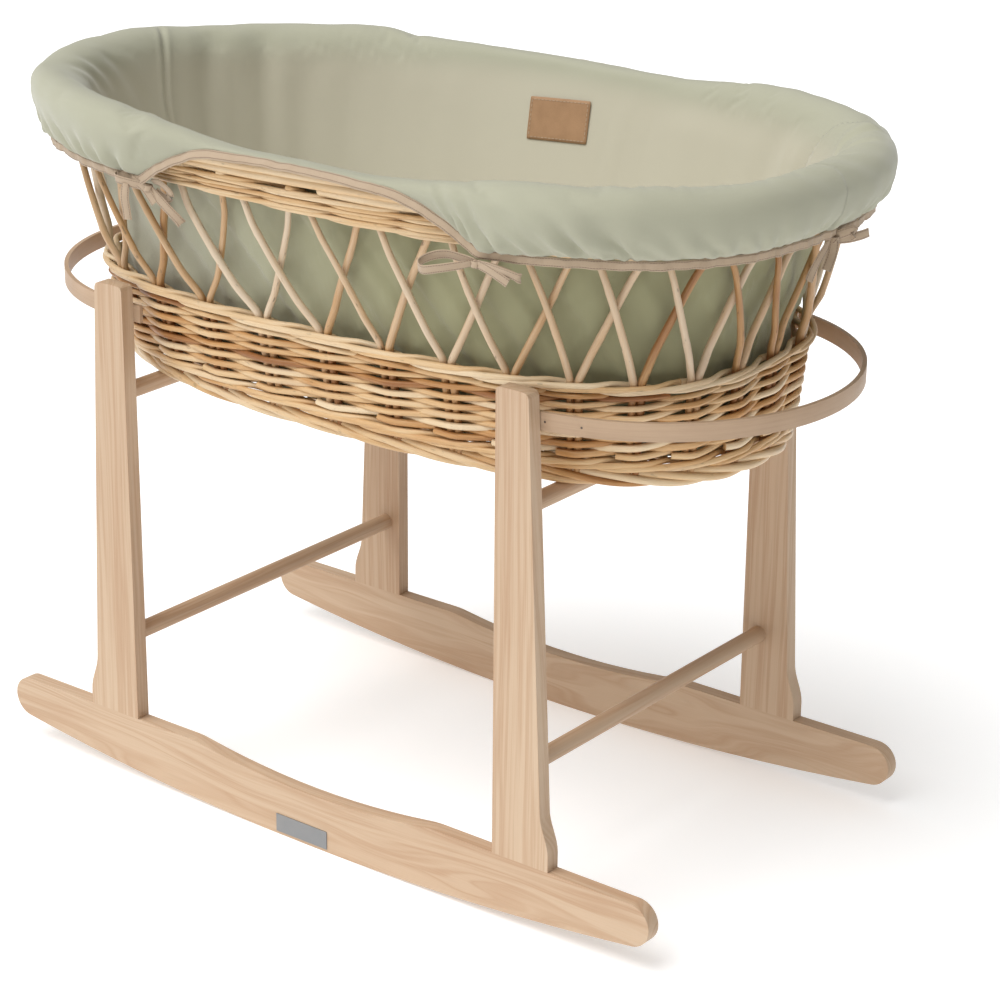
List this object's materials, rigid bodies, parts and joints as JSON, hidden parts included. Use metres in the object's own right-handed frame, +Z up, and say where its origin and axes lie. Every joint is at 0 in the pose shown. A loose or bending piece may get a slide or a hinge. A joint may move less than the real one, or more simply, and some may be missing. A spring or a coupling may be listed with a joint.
{
  "type": "bassinet on stand",
  "caption": "Oval woven willow bassinet with a padded cotton liner and mattress, lifting off a timber stand on curved rockers.",
  "frame": {"origin": "on the floor, midway between the two rockers", "axes": "+X along the rockers towards the foot end, front is -Y, +Z up"},
  "size_m": [1.0314, 0.6364, 0.829],
  "materials": {
    "pine": "clear matt lacquer on planed pine",
    "bent_wood": "steam-bent strip, clear matt lacquer",
    "willow": "peeled natural willow, satin",
    "sage_cotton": "plain-weave cotton, padded",
    "bias_tape": "cotton bias tape, top-stitched",
    "label_leather": "smooth leather-look, stitched",
    "plate_metal": "satin",
    "steel": "plain",
    "mattress_cover": "white cotton cover"
  },
  "bodies": {
    "stand": {"rocker_front": "pine", "rocker_rear": "pine", "leg_front_left": "pine", "leg_front_right": "pine", "leg_rear_left": "pine", "leg_rear_right": "pine", "lower_dowel_left": "pine", "lower_dowel_right": "pine", "support_rail_left": "pine", "support_rail_right": "pine", "leg_pins": "pine", "hoop_left": "bent_wood", "hoop_right": "bent_wood", "hoop_screws": "steel", "hoop_nails": "steel", "name_plate": "plate_metal"},
    "bassinet": {"basket_base": "willow", "foot_border": "willow", "woven_wall": "willow", "wall_wale": "willow", "outer_stakes": "willow", "inner_stakes": "willow", "rim_weave": "willow", "rim_border": "willow", "liner_wall": "sage_cotton", "liner_cuff_head": "sage_cotton", "liner_cuff_foot": "sage_cotton", "hem_binding_head": "bias_tape", "hem_binding_foot": "bias_tape", "notch_binding_front": "bias_tape", "notch_binding_rear": "bias_tape", "tie_bows": "bias_tape", "liner_label": "label_leather"},
    "mattress_pad": {"mattress": "mattress_cover"}
  },
  "joints": [
    {"name": "bassinet_lift", "type": "slide", "parent": "stand", "child": "bassinet", "axis": [0, 0, 1], "range_m": [0, 0.16]},
    {"name": "mattress_lift", "type": "slide", "parent": "bassinet", "child": "mattress_pad", "axis": [0, 0, 1], "range_m": [0, 0.34]}
  ]
}
